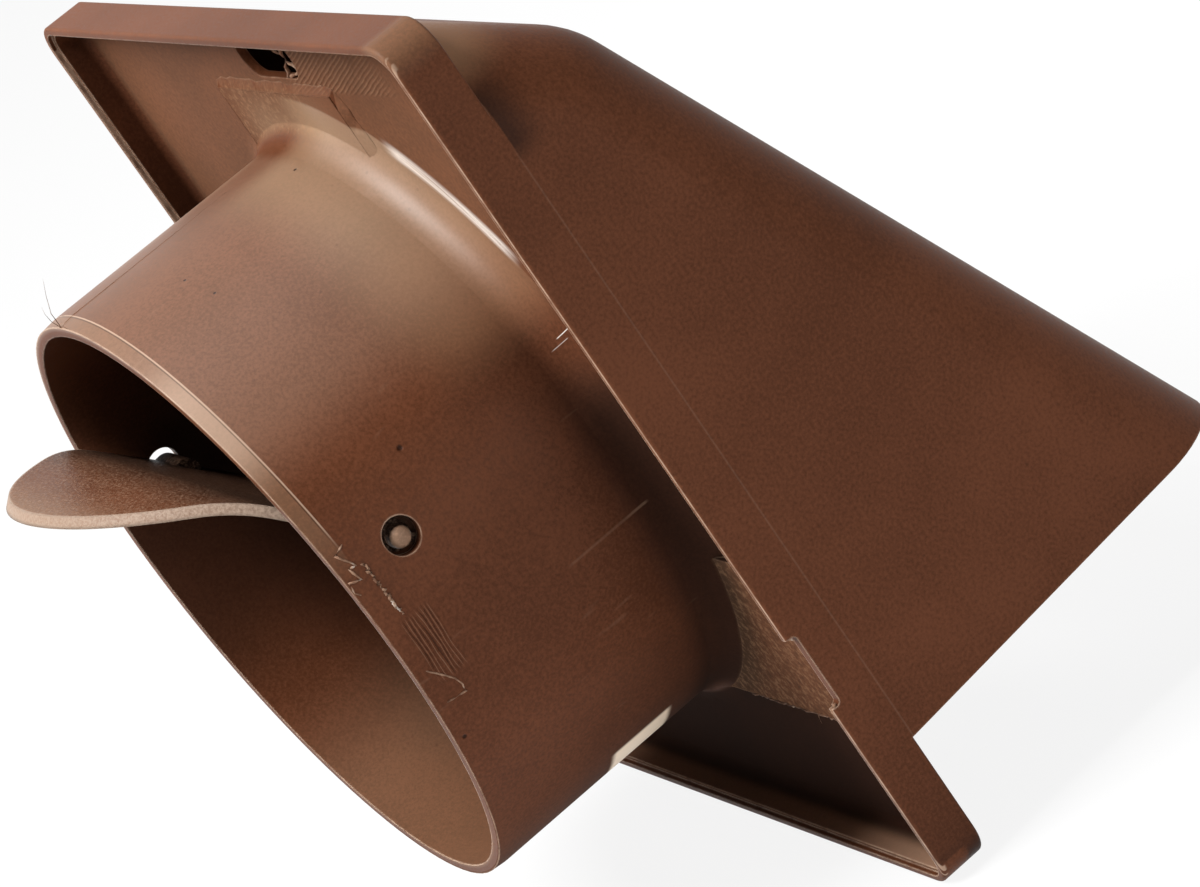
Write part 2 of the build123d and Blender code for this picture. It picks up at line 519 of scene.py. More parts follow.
class Plastic(Nodes):
    """A brown plastic material being laid out; x, y and z are in millimetres."""

    def __init__(self, name, settings, edge_share=1.0):
        self.material = bpy.data.materials.new(name)
        self.material.use_nodes = True
        super().__init__(self.material.node_tree)
        shader = self.tree.nodes.new("ShaderNodeBsdfPrincipled")
        self.add("ShaderNodeOutputMaterial", {"Surface": shader.outputs["BSDF"]})
        self.sockets = shader.inputs
        for socket, value in SKIN.items():
            self.sockets[socket].default_value = value
        self.worn_tan = settings.worn_tan
        self.stress_white = settings.stress_white
        self.spot = self.add("ShaderNodeTexCoord")["Object"]
        axes = self.add("ShaderNodeSeparateXYZ", {0: self.spot})
        self.x, self.y, self.z = (self.calc("DIVIDE", axis, MM) for axis in axes)
        self.grain = self.effect(moulded_grain, {"Vector": self.spot, "Grain": settings.grain_size})
        self.edges = self.effect(edge_wear, {"Vector": self.spot, "Width": settings.edge_width * edge_share})
        deep, warm = ((*tone, 1.0) for tone in (settings.deep_brown, settings.warm_brown))
        self.colour = self.tint(self.grain["Mottle"], deep, warm)
        smooth, rough = (settings.roughness + spread for spread in ROUGHNESS_SPREAD)
        self.roughness = self.ramp(self.grain["Height"], 0.3, 0.7, smooth, rough)
        self.height = self.times(self.grain["Height"], GRAIN_RELIEF)

    def paint(self, colour, strength, *masks):
        """Lays a colour over the plastic at this strength where all masks are 1."""
        self.colour = self.tint(self.times(*masks, strength), self.colour, (*colour, 1.0))

    def dirty(self, reach, strength):
        """Paints shade into the corners and hollows."""
        self.paint(PAINTED_SHADE, strength, self.effect(crevice_shade, {"Vector": self.spot, "Reach": reach})["Mask"])

    def scuff(self, strength, stretch, amount, *masks):
        """Pales hairline scratches where all masks are 1."""
        feeds = {"Vector": self.spot, "Stretch": stretch, "Amount": amount}
        self.paint(self.worn_tan, strength, self.effect(hairline_scuffs, feeds)["Mask"], *masks)

    def raise_by(self, amount, *masks):
        """Adds to the relief where all masks are 1."""
        self.height = self.plus(self.height, self.times(*masks, amount))

    def gloss(self, roughness, mask):
        """Sets the roughness where mask is 1."""
        feeds = {0: mask, 2: self.roughness, 3: roughness}
        self.roughness = self.add("ShaderNodeMix", feeds, data_type="FLOAT")[0]

    def polish(self, mask):
        """Lays a clear, slightly patchy sheen over the plastic where mask is 1."""
        patchy = self.ramp(self.grain["Mottle"], 0.0, 1.0, 0.8, 1.0)
        self.feed(self.sockets["Coat Weight"], self.times(mask, patchy))

    def done(self, relief):
        """Links the layers to the shader; relief is the height in metres of one unit."""
        feeds = {"Strength": 1.0, "Distance": relief, "Height": self.height, "Normal": self.edges["Normal"]}
        self.feed(self.sockets["Normal"], self.add("ShaderNodeBump", feeds)["Normal"])
        self.feed(self.sockets["Base Color"], self.colour)
        self.feed(self.sockets["Roughness"], self.roughness)
        return self.material


class BodyPlastic(Plastic):
    """Plastic of the vent body; angle is in degrees from the top towards the left cheek."""

    def __init__(self, settings):
        super().__init__("vent_body_plastic", settings)
        self.sideways = self.calc("ABSOLUTE", self.x)
        self.leftward = self.times(self.x, -1.0)
        self.radius = self.distance(self.x, self.z)
        self.angle = self.calc("DEGREES", self.calc("ARCTAN2", self.leftward, self.z))
        self.turn = self.calc("ABSOLUTE", self.angle)
        skin = self.window(self.radius, SPIGOT_RADIUS - 0.5, SPIGOT_RADIUS + 0.4, 0.1)
        self.spigot = self.times(skin, self.ramp(self.y, SPIGOT_ROOT_START - 1.0, SPIGOT_ROOT_START))
        self.outside = self.ramp(self.radius, 48.6, 49.0)
        self.behind = self.ramp(self.y, WEB_REAR - 0.6, WEB_REAR - 0.3)
        normal = self.add("ShaderNodeNewGeometry")["Normal"]
        lean = self.add("ShaderNodeSeparateXYZ", {0: normal})["Y"]
        self.rear = self.times(self.ramp(lean, 0.75, 0.95), self.behind)
        self.web = self.times(self.rear, self.fade(self.y, LAND_REAR + 0.4, LAND_REAR + 0.8))
        self.top_land = self.times(
            self.behind,
            self.fade(self.y, LAND_REAR + 1.0, LAND_REAR + 2.0),
            self.ramp(self.radius, 50.0, 51.6),
            self.window(self.z, 25.0, TOP_LAND_TOP - 0.6, 2.2),
        )

    def corner_dirt(self):
        """Painted shade in the corners, thinner round the spigot's upper root and on the low lip."""
        upper = self.window(self.angle, -62.0, 56.0, 14.0)
        upper_root = self.times(upper, self.fade(self.radius, 62.0, 68.0))
        open_lip = self.times(self.fade(self.z, -66.4, -65.8), self.ramp(self.y, -5.4, -3.6))
        self.dirty(BODY_SHADE_REACH, self.ramp(self.largest(upper_root, open_lip), 0.0, 1.0, 0.85, 0.15))

    def bore_dirt(self):
        """Painted shade deep in the bore and round its upper half where the flap shades it, and painted light
        on its lowest part.
        """
        in_bore = self.fade(self.radius, BORE_RADIUS + 0.25, BORE_RADIUS + 0.65)
        bore = self.times(in_bore, self.ramp(self.y, FLANGE_FRONT - 0.8, FLANGE_FRONT + 0.2))
        self.paint(PAINTED_SHADE, 0.6, bore, self.fade(self.y, 8.0, 30.0))
        off_top = self.ramp(self.turn, 40.0, 90.0, 0.2, 1.0)
        self.paint(PAINTED_SHADE, 0.56, bore, off_top, self.fade(self.turn, 100.0, 134.0))
        self.paint(PAINTED_LIGHT_TAN, 0.12, bore, self.ramp(self.turn, 122.0, 150.0))

    def tray_dirt(self):
        """Matt web with painted light on its upper part, painted shade in the tray below the low land, and
        painted light on the low lip, stronger towards the left corner.
        """
        self.gloss(0.75, self.web)
        # Painted light on the web's upper part
        self.paint(PAINTED_LIGHT_TAN, 0.07, self.web, self.ramp(self.z, 20.0, 40.0))
        low_tray = self.times(
            self.behind,
            self.fade(self.z, LOW_LAND_BASE - 0.5, LOW_LAND_BASE),
            self.fade(self.y, -0.9, -0.7),
            self.window(self.sideways, 0.0, RIM_INSIDE + 0.1, 0.1),
            self.ramp(self.z, -RIM_INSIDE - 0.4, -RIM_INSIDE - 0.3),
            self.ramp(self.radius, 50.5, 52.0),
        )
        self.gloss(0.95, low_tray)
        # Painted shade in the low tray
        self.paint(PAINTED_SHADE, 0.8, low_tray, self.fade(self.y, -4.6, -2.6))
        # Painted light on the low lip, stronger towards the left corner
        lip = self.times(self.fade(self.z, -67.0, -66.2), self.ramp(self.y, -5.2, -2.4))
        self.paint(self.worn_tan, self.ramp(self.x, -66.0, -20.0, 0.5, 0.2), low_tray, lip)

    def lower_dirt(self):
        """Painted shade on the spigot's lower root and underside, and in the hollow where the hood leaves the
        rim.
        """
        low_root = self.times(
            self.behind,
            self.outside,
            self.fade(self.radius, 52.0, 58.5),
            self.fade(self.y, -3.5, 4.0),
            self.window(self.turn, 84.0, 150.0, 14.0),
        )
        self.paint(PAINTED_SHADE, 0.8, low_root)
        self.gloss(0.9, low_root)
        underside = self.times(self.spigot, self.ramp(self.turn, 112.0, 138.0))
        self.paint(PAINTED_SHADE, 0.28, underside)
        self.gloss(0.75, underside)
        hood_corner = self.times(
            self.ramp(self.sideways, 58.0, 64.0),
            self.window(self.z, 50.0, 56.0, 4.5),
            self.ramp(self.y, -14.0, FLANGE_FRONT - 0.4),
            self.fade(self.y, FLANGE_FRONT - 0.3, FLANGE_FRONT),
        )
        self.paint(PAINTED_SHADE, 0.72, hood_corner)

    def rubbed_spigot(self):
        """Painted sheen on the spigot's upper side, where a clear coat lies too, and a painted reflection, a
        pale sliver, on its underside.
        """
        sheen = self.times(
            self.window(self.radius, SPIGOT_RADIUS - 0.5, ROOT_EDGE, 0.6),
            self.ramp(self.y, WEB_REAR - 0.4, WEB_REAR),
            self.window(self.angle, -45.0, 48.0, 15.0),
            self.largest(self.ramp(self.y, -1.5, 1.5), self.ramp(self.angle, 6.0, 14.0)),
        )
        self.paint(PAINTED_LIGHT_TAN, 0.08, sheen)
        along = self.window(self.y, *SLIVER_REACH, 1.4)
        sliver = self.times(self.spigot, self.window(self.angle, *SLIVER_ANGLES, 1.6), along)
        self.paint(REFLECTION_TAN, 0.9, sliver)
        self.polish(self.largest(self.times(sheen, 0.6), sliver))

    def rubbed_roots(self):
        """Painted light on the hood's shoulder, and painted sheen on the spigot's root and its far side."""
        on_hood = self.fade(self.y, FLANGE_FRONT - 0.1, FLANGE_FRONT + 0.1)
        self.paint(LAND_TAN, 0.55, on_hood, self.ramp(self.z, 57.0, 63.0), self.ramp(self.y, -21.0, -9.0))
        root_side = self.times(
            self.behind, self.outside, self.fade(self.radius, 55.8, 56.6), self.fade(self.y, 2.0, 16.0)
        )
        upper = self.times(self.ramp(self.angle, -2.0, 8.0), self.fade(self.angle, 30.0, 60.0))
        self.paint(PAINTED_LIGHT_TAN, 0.28, root_side, upper)
        self.paint(LAND_TAN, 0.3, root_side, self.window(self.angle, 46.0, 57.0, 12.0))
        far_side = self.times(self.spigot, self.fade(self.angle, -19.0, -6.0))
        self.paint(PAINTED_LIGHT_TAN, 0.3, far_side, self.window(self.y, 2.0, 22.0, 8.0))

    def rough_lands(self):
        """Rough lands beside the spigot, with painted shade in the low land's pits and painted light on the
        web above the spigot's root.
        """
        low_land = self.window(self.z, LOW_LAND_BASE, LOW_LAND_TOP, 0.2)
        on_land = self.window(self.y, LAND_REAR - 0.3, LAND_REAR + 0.2, 0.1)
        low_rough = self.times(self.rear, low_land, on_land)
        far_end = self.fade(self.x, TOP_LAND_HALF, TOP_LAND_HALF + 2.4)
        top_rough = self.times(self.top_land, self.ramp(self.x, -16.0, -4.0), far_end)
        rough = self.largest(low_rough, top_rough)
        self.gloss(0.95, rough)
        pitted = self.noise(self.spot, LAND_PITTING, 4.0, 0.75)
        # Painted shade in the low land's pits
        self.paint(PAINTED_SHADE, 0.5, rough, low_land, self.fade(pitted, 0.36, 0.5))
        # Painted light on the web and top land above the spigot's root
        near_root = self.times(self.window(self.x, -6.0, 8.0, 16.0), self.fade(self.z, 48.0, 60.0))
        above = self.times(self.largest(self.web, self.top_land), self.ramp(self.z, 20.0, 25.0))
        self.paint(PAINTED_LIGHT_TAN, 0.3, above, near_root)
        self.paint(LAND_TAN, self.ramp(pitted, 0.4, 0.9, 0.2, 0.6), rough, self.ramp(pitted, 0.48, 0.62))
        self.paint(LAND_TAN, 0.14, low_rough)
        self.raise_by(2.6, rough, pitted)

    def combed_web(self):
        """Combed drag marks in the web on one side of the slot."""
        combed = self.times(
            self.rear,
            self.window(self.x, -40.0, SLOT_LEFT + 1.0, 8.0),
            self.window(self.z, TOP_LAND_TOP + 0.6, RIM_INSIDE - 1.5, 0.8),
        )
        feeds = {"Vector": self.spot, "Angle": COMB_TILT}
        tilted = self.add("ShaderNodeVectorRotate", feeds, rotation_type="Y_AXIS")[0]
        drift = self.noise(tilted, COMB_DRIFT)
        height = self.add("ShaderNodeSeparateXYZ", {0: tilted})["Z"]
        combs = self.calc("SINE", self.plus(self.times(height, COMB_WAVES), self.times(drift, 4.0)))
        patchy = self.ramp(drift, 0.36, 0.56, 0.3, 1.0)
        self.paint(LAND_TAN, 0.28, combed, self.ramp(combs, 0.1, 0.9), patchy)
        self.raise_by(0.6, combed, combs)

    def root_streak(self):
        """Painted highlight along the spigot's root: a bright streak with fibres, in the stress-white colour.
        """
        sweep = self.times(self.minus(self.angle, STREAK_ANGLES[0]), STREAK_SWEEP)
        off_line = self.calc("ABSOLUTE", self.minus(self.minus(self.radius, STREAK_RADIUS), sweep))
        streak_highlight = self.times(
            self.window(self.angle, *STREAK_ANGLES, 5.0),
            self.fade(off_line, 0.3 * STREAK_HALF, 2.2 * STREAK_HALF),
            self.window(self.y, WEB_REAR - 0.2, WEB_REAR + 1.0, 0.2),
        )
        fibres = self.noise(self.pair(self.times(self.angle, 0.06), self.times(self.radius, 5.5)), 1.0, 3.0)
        self.paint(self.stress_white, 0.8, streak_highlight, self.ramp(fibres, 0.36, 0.5, 0.25, 1.0))
        self.gloss(0.25, streak_highlight)

    def brush_marks(self):
        """Bundle of bowed brush marks near the spigot's end."""
        along = self.window(self.y, *BRUSHED_REACH, 0.5)
        brushed = self.times(self.spigot, self.window(self.angle, *BRUSHED_ANGLES, 2.0), along)
        sway = self.noise(self.pair(self.times(self.angle, 0.13), self.times(self.y, 0.5)), 1.0, 1.0)
        off_middle = self.minus(self.angle, sum(BRUSHED_ANGLES) / 2)
        bow = self.times(off_middle, off_middle, 0.02)
        bristles = self.calc("SINE", self.plus(self.times(self.y, BRUSH_WAVES), bow, self.times(sway, 9.0)))
        grooves = self.times(brushed, self.ramp(bristles, 0.55, 0.95), self.ramp(sway, 0.35, 0.55, 0.3, 1.0))
        self.paint(BRUSH_DARK, 0.5, grooves)
        self.paint(self.worn_tan, 0.22, brushed, self.fade(bristles, -0.97, -0.8))
        self.raise_by(-1.5, grooves)

    def side_scratches(self):
        """Weld line on the spigot's left side and short white scratches on its root."""
        weld = self.times(self.spigot, self.window(self.angle, *WELD_ANGLES, 0.25))
        strength = self.ramp(self.y, -1.0, 3.5, 0.26, 0.1)
        self.paint(self.worn_tan, strength, weld, self.window(self.y, *WELD_REACH, 1.5))
        root = self.window(self.y, WEB_REAR, SPIGOT_ROOT_START, 0.2)
        for angles, radii, strength in SCRATCHES:
            line = self.times(self.window(self.angle, *angles, 0.05), self.window(self.radius, *radii, 0.4))
            self.paint(self.stress_white, strength, root, line)

    def end_band(self):
        """Painted sheen on the band round the spigot's end, a painted highlight on it, and a painted
        highlight and shade line where it starts.
        """
        upper = self.window(self.angle, -60.0, 66.0, 14.0)
        band = self.times(self.spigot, self.ramp(self.y, LEAD_IN_START - 0.1, LEAD_IN_START + 0.1), upper)
        self.paint(PAINTED_LIGHT_TAN, 0.13, band)
        self.paint(EDGE_TAN, 0.3, band, self.window(self.angle, 38.0, 48.0, 12.0))
        lined = self.times(self.spigot, self.fade(self.angle, 66.0, 74.0))
        for colour, start, end in ((EDGE_TAN, -0.12, 0.02), (PAINTED_SHADE, 0.14, 0.24)):
            line = self.window(self.y, LEAD_IN_START + start, LEAD_IN_START + end, 0.08)
            self.paint(colour, 0.5, lined, line)

    def grit_pits(self):
        """Pits where grit marked the skin, with painted shade in each."""
        for angle, reach, size in PITS:
            across = self.times(self.minus(self.angle, angle), math.radians(SPIGOT_RADIUS))
            away = self.distance(across, self.minus(self.y, reach))
            pit = self.times(self.spigot, self.fade(away, 0.3 * size, size))
            self.paint(PIT_SHADE, 0.85, pit)
            self.raise_by(-3.0, pit)

    def wear(self):
        """General scuffs, specks and worn edges, with painted light on the rim's top corner and pale edges at
        the rim, pivot hole and spigot end that are part wear, part painted highlight.
        """
        self.scuff(0.1, (900.0, 120.0, 620.0), 0.03, self.spigot)
        self.paint(SPECK_DARK, 0.18, self.grain["Speck"])
        land_edges = self.times(self.top_land, self.window(self.sideways, 0.0, TOP_LAND_HALF + 3.0, 1.0))
        self.paint(self.worn_tan, 0.45, self.edges["Mask"], self.minus(1.0, land_edges))
        on_flange = self.ramp(self.y, FLANGE_FRONT + 0.1, FLANGE_FRONT + 0.3)
        # Painted light on the rim's top corner
        corner = self.times(self.window(self.leftward, 66.0, 70.5, 4.0), self.ramp(self.z, 64.0, 68.5))
        self.paint(PAINTED_LIGHT_TAN, 0.14, corner, on_flange)
        # Pale edges at the rim, pivot hole and spigot end: part wear, part painted highlight
        outward = self.largest(self.sideways, self.calc("ABSOLUTE", self.z))
        at_rim = self.ramp(outward, RIM_INSIDE - 1.4, RIM_INSIDE - 0.8)
        rim = self.times(at_rim, self.ramp(self.y, -3.0, -1.4))
        from_hole = self.distance(self.minus(self.z, PIVOT_HOLE_HEIGHT), self.minus(self.y, PIVOT_REACH))
        end = self.ramp(self.y, SPIGOT_END - 1.3, SPIGOT_END - 0.7)
        self.paint(EDGE_TAN, 0.85, self.edges["Mask"], self.largest(rim, self.fade(from_hole, 3.2, 3.8), end))

    def rim_lines(self):
        """Painted highlights as thin broken lines along the rim's rear edge, and the faint seam between cheek
        and flange.
        """
        lines = self.largest(*(self.window(self.sideways, *line) for line in RIM_HIGHLIGHT_LINES))
        strength = self.ramp(self.noise(self.spot, RIM_LINE_BREAKS, 3.0), 0.3, 0.6, 0.15, 0.5)
        self.paint(EDGE_TAN, strength, lines, self.ramp(self.y, -0.9, -0.5))
        seam = self.times(
            self.ramp(self.sideways, 69.2, 69.6),
            self.window(self.y, FLANGE_FRONT - 0.1, FLANGE_FRONT + 0.05, 0.1),
            self.fade(self.z, 46.0, 50.0),
        )
        self.paint(EDGE_TAN, 0.05, seam)


def body_plastic(settings):
    """The vent body's plastic, its layers laid in order."""
    skin = BodyPlastic(settings)
    skin.corner_dirt()
    skin.bore_dirt()
    skin.tray_dirt()
    skin.lower_dirt()
    skin.rubbed_spigot()
    skin.rubbed_roots()
    skin.rough_lands()
    skin.combed_web()
    skin.root_streak()
    skin.brush_marks()
    skin.side_scratches()
    skin.end_band()
    skin.grit_pits()
    skin.wear()
    skin.rim_lines()
    return skin.done(BODY_RELIEF)


def flap_plastic(settings):
    """Plastic of the flap, finer in grain, with short bright scratches and a pale rim, painted shade in its
    corners, near the spigot and on the pivot bosses, and painted light on its outer end and its pips.
    """
    skin = Plastic("flap_plastic", settings, FLAP_EDGE_SHARE)
    skin.dirty(FLAP_SHADE_REACH, 0.8)
    # Painted shade on the part of the flap that the spigot's wall shades
    skin.paint(PAINTED_SHADE, 0.65, skin.fade(skin.y, 36.0, 50.0))
    # Painted light on the flap's outer end
    skin.paint(PAINTED_LIGHT_TAN, 0.3, skin.ramp(skin.y, 48.0, 63.0))
    rise = skin.minus(skin.z, PIVOT_HEIGHT)
    ahead = skin.minus(skin.y, PIVOT_REACH)
    off_axis = skin.distance(rise, ahead)
    sideways = skin.calc("ABSOLUTE", skin.x)
    # Painted shade on the pivot bosses
    skin.paint(PAINTED_SHADE, 0.35, skin.window(sideways, 36.0, 46.6, 0.3), skin.fade(off_axis, 2.4, 2.8))
    # Painted highlight on the pips
    pip = skin.ramp(sideways, 47.0, 47.3)
    skin.paint(skin.worn_tan, 0.5, pip)
    skin.gloss(0.2, pip)
    grit = skin.noise(skin.spot, FLAP_GRIT, 3.0, 0.7)
    skin.paint(skin.worn_tan, 0.4, skin.ramp(grit, 0.45, 0.7))
    skin.raise_by(0.8, grit)
    skin.scuff(0.35, (160.0, 900.0, 900.0), 0.06)

    # Height of each point over the duct's axis with the flap swung back to closed
    closed = skin.plus(
        skin.times(ahead, math.sin(FLAP_OPEN)), skin.times(rise, math.cos(FLAP_OPEN)), PIVOT_HEIGHT
    )
    off_pivot = skin.ramp(off_axis, 2.6, 3.0)
    rim_face = skin.ramp(skin.distance(skin.x, closed), FLAP_RADIUS - 0.25, FLAP_RADIUS - 0.1)
    skin.paint(FLAP_EDGE_TAN, skin.ramp(grit, 0.3, 0.65, 0.5, 0.95), rim_face, off_pivot)
    strength = skin.ramp(sideways, FLAP_RADIUS - 0.4, FLAP_RADIUS, 0.95, 0.2)
    skin.paint(FLAP_EDGE_TAN, strength, skin.edges["Mask"], off_pivot)
    return skin.done(FLAP_RELIEF)


def torn_plastic(settings):
    """Thin torn plastic of flash and burrs, paled by stretching."""
    skin = Plastic("torn_plastic", settings)
    patches = skin.noise(skin.spot, TORN_PATCHES)
    skin.paint(skin.worn_tan, 1.0, skin.ramp(patches, 0.35, 0.7, 0.25, 0.95))
    skin.paint(skin.stress_white, 0.8, skin.ramp(patches, 0.6, 0.72))
    return skin.done(TORN_RELIEF)


# Meshes


def on_spigot(angle, reach, lift=0.0):
    """Point in metres on the spigot's outside, lift millimetres proud of it."""
    turn = math.radians(angle)
    lead_in = max(0.0, reach - LEAD_IN_START) / (SPIGOT_END - LEAD_IN_START) * LEAD_IN_DEPTH
    distance = SPIGOT_RADIUS - lead_in + lift
    return Vector((-distance * math.sin(turn), reach, distance * math.cos(turn))) * MM


def along_runs(outline, steps):
    """Points of an outline of pairs, with each run cut into steps, the last point left out."""
    for start, end in zip(outline, outline[1:]):
        for step in range(steps):
            yield tuple(a + (b - a) * step / steps for a, b in zip(start, end))


def strand(mesh, points, radii, sides=5):
    """Closed tapering tube along points, in metres."""
    rings = []
    for index, point in enumerate(points):
        ahead = points[min(index + 1, len(points) - 1)] - points[max(index - 1, 0)]
        across = ahead.orthogonal().normalized()
        up = ahead.cross(across).normalized()
        ring = []
        for side in range(sides):
            turn = 2 * math.pi * side / sides
            offset = across * math.cos(turn) + up * math.sin(turn)
            ring.append(mesh.verts.new(point + offset * radii[index]))
        rings.append(ring)
    join(mesh, rings)


def join(mesh, rings):
    """Closes a row of rings of vertices into a solid."""
    sides = len(rings[0])
    for first, second in zip(rings, rings[1:]):
        for side in range(sides):
            after = (side + 1) % sides
            mesh.faces.new((first[side], first[after], second[after], second[side]))
    mesh.faces.new(reversed(rings[0]))
    mesh.faces.new(rings[-1])


def taper(count, radius, tip=0.15):
    """Radii that shrink from radius to a share of it at the far end."""
    return [radius * (1 - (1 - tip) * step / (count - 1)) for step in range(count)]


def place(name, data):
    """Puts a new object with this data into the scene."""
    made = bpy.data.objects.new(name, data)
    bpy.context.scene.collection.objects.link(made)
    return made


def body_piece(name, mesh, material, smooth=True):
    """Turns a bmesh into a named piece that rides on the body."""
    bmesh.ops.recalc_face_normals(mesh, faces=mesh.faces)
    data = bpy.data.meshes.new(name)
    mesh.to_mesh(data)
    mesh.free()
    for face in data.polygons:
        face.use_smooth = smooth
    made = place(name, data)
    data.materials.append(material)
    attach(made, "body")


def torn_material(context):
    """The torn plastic material, made once."""
    return bpy.data.materials.get("torn_plastic") or torn_plastic(context.scene.vent_plastic)


def dress(node, material):
    """Gives a node of the frame its finished material."""
    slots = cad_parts[node].data.materials
    slots.clear()
    slots.append(material)


class VENT_OT_body(bpy.types.Operator):
    """Finish the moulded body: satin brown plastic with its rough lands and marks"""

    bl_idname = "vent.body"
    bl_label = "Vent body"

    def execute(self, context):
        dress("vent_body", body_plastic(context.scene.vent_plastic))
        return {"FINISHED"}


class VENT_OT_flap(bpy.types.Operator):
    """Finish the swinging flap: fine-grained brown plastic"""

    bl_idname = "vent.flap"
    bl_label = "Damper flap"

    def execute(self, context):
        dress("damper_flap", flap_plastic(context.scene.vent_plastic))
        return {"FINISHED"}


class VENT_OT_parting(bpy.types.Operator):
    """Make the fine ridge that the mould left along the top of the spigot"""

    bl_idname = "vent.parting"
    bl_label = "Parting ridge"

    def execute(self, context):
        width = context.scene.vent_flash.parting
        draw = random.Random(11)
        steps = 40
        length = SPIGOT_END - 0.4 - PARTING_START
        mesh = bmesh.new()
        points, radii = [], []
        for step in range(steps + 1):
            share = step / steps
            angle = PARTING_ANGLE + draw.uniform(-0.08, 0.08)
            points.append(on_spigot(angle, PARTING_START + length * share, -0.06))
            radii.append(width / 2 * (0.4 + 0.6 * share))
        strand(mesh, points, radii, sides=6)
        body_piece("parting_ridge", mesh, bpy.data.materials["vent_body_plastic"])
        return {"FINISHED"}


class VENT_OT_skirt(bpy.types.Operator):
    """Make the soft uneven slope from the top land down to the web"""

    bl_idname = "vent.skirt"
    bl_label = "Land slope"

    def execute(self, context):
        reach = context.scene.vent_flash.slope / MM
        draw = random.Random(23)
        mesh = bmesh.new()
        rings = []
        for edge, away in self.land_edge():
            foot = edge + away * reach * draw.uniform(0.75, 1.1)
            corners = ((edge, LAND_REAR + 0.03), (foot, WEB_REAR - 0.04), (edge, WEB_REAR - 0.3))
            rings.append([mesh.verts.new(Vector((point.x, y, point.z)) * MM) for point, y in corners])
        join(mesh, rings)
        body_piece("land_slope", mesh, bpy.data.materials["vent_body_plastic"], smooth=False)
        return {"FINISHED"}

    def land_edge(self):
        """Points round the land's sides and top, each with the way its slope runs."""
        half, top = TOP_LAND_HALF - 0.2, TOP_LAND_TOP - 0.2
        heights = (46.5, 48.5, 50.5, 52.5, 54.5)
        steps = 22
        top_share, corner_share = 0.62, 0.62 * 0.7
        for height in heights:
            yield Vector((-half, 0.0, height)), Vector((-1.0, 0.0, 0.0))
        for step in range(steps + 1):
            x = -half + 2 * half * step / steps
            lean = math.copysign(corner_share, x) if step in (0, steps) else 0.0
            yield Vector((x, 0.0, top)), Vector((lean, 0.0, corner_share if lean else top_share))
        for height in reversed(heights):
            yield Vector((half, 0.0, height)), Vector((1.0, 0.0, 0.0))


class VENT_OT_burrs(bpy.types.Operator):
    """Make the torn burrs on the spigot's end, the lands' edge and the nick"""

    bl_idname = "vent.burrs"
    bl_label = "Torn burrs"

    def execute(self, context):
        height = context.scene.vent_flash.burr
        material = torn_material(context)
        self.end_burrs(height, material)
        self.land_burrs(height, material)
        self.nick_burr(height, material)
        return {"FINISHED"}

    def end_burrs(self, height, material):
        """Ragged lines where the spigot's end was trimmed."""
        draw = random.Random(5)
        mesh = bmesh.new()
        for outline, share, wander in END_BURRS:
            points, radii = [], []
            for angle, reach in along_runs(outline, 3):
                angle += draw.uniform(-wander, wander)
                reach += draw.uniform(-wander, wander)
                points.append(on_spigot(angle, reach, draw.uniform(-0.1, 0.02)))
                radii.append(height * share * draw.uniform(0.3, 1.0))
            strand(mesh, points, radii)
        body_piece("end_burrs", mesh, material)

    def land_burrs(self, height, material):
        """Ragged lower edge of the rough land, and the threads that hang from it."""
        draw = random.Random(8)
        mesh = bmesh.new()
        steps = 60
        length = RIM_INSIDE - 0.4 - LAND_BURR_START
        for side in (-1, 1):
            points, radii = [], []
            for step in range(steps + 1):
                x = side * (LAND_BURR_START + length * step / steps)
                y = LAND_REAR + draw.uniform(-0.1, 0.1)
                z = LOW_LAND_BASE + draw.uniform(-0.12, 0.1)
                points.append(Vector((x, y, z)) * MM)
                radii.append(height * draw.uniform(0.2, 0.6))
            strand(mesh, points, radii)
        count = 6
        for start in LAND_THREADS:
            root = Vector((start, LAND_REAR, LOW_LAND_BASE))
            bend = Vector((draw.uniform(-0.6, 0.2), draw.uniform(0.3, 0.9), -1.0)) * 0.7
            points = []
            for step in range(count):
                sag = Vector((0.0, 0.0, -0.03 * step**2))
                points.append((root + bend * step / (count - 1) + sag) * MM)
            strand(mesh, points, taper(count, height * 0.35))
        body_piece("land_burrs", mesh, material)

    def nick_burr(self, height, material):
        """Bright torn lip at the lower end of the nick, and the hook at its upper end."""
        mesh = bmesh.new()
        edge = CAD_LOW.x / MM + NICK_BURR_INSET
        for (offsets, shares), end in zip((NICK_LIP, NICK_HOOK), NICK):
            points = [Vector((edge + x, y, end + z)) * MM for x, y, z in offsets]
            strand(mesh, points, [height * share for share in shares], sides=6)
        body_piece("nick_burr", mesh, material)


class VENT_OT_flash(bpy.types.Operator):
    """Make the thin strands of flash in the slot and on the spigot's end"""

    bl_idname = "vent.flash"
    bl_label = "Flash strands"

    def execute(self, context):
        width = context.scene.vent_flash.strand
        material = torn_material(context)
        self.slot_flash(width, material)
        self.end_hair(width, material)
        return {"FINISHED"}

    def slot_flash(self, width, material):
        """Crossed strands torn across one end of the slot."""
        mesh = bmesh.new()
        for run in SLOT_STRANDS:
            points, radii = [], []
            for index, (aside, above) in enumerate(along_runs(run, 5)):
                x = SLOT_LEFT + aside
                points.append(Vector((x, WEB_REAR - 0.3 + 0.2 * math.sin(3 * x), SLOT_LOW + above)) * MM)
                radii.append(width * (1.4 + math.sin(index)))
            strand(mesh, points, radii, sides=6)
        body_piece("slot_flash", mesh, material)

    def end_hair(self, width, material):
        """Wispy hairs that stand up from the top of the spigot's end."""
        mesh = bmesh.new()
        for number, hair in enumerate(END_HAIRS):
            points = [Vector(point) * MM for point in hair]
            strand(mesh, points, taper(len(points), width * (0.5 - 0.1 * number)))
        body_piece("end_hair", mesh, material)


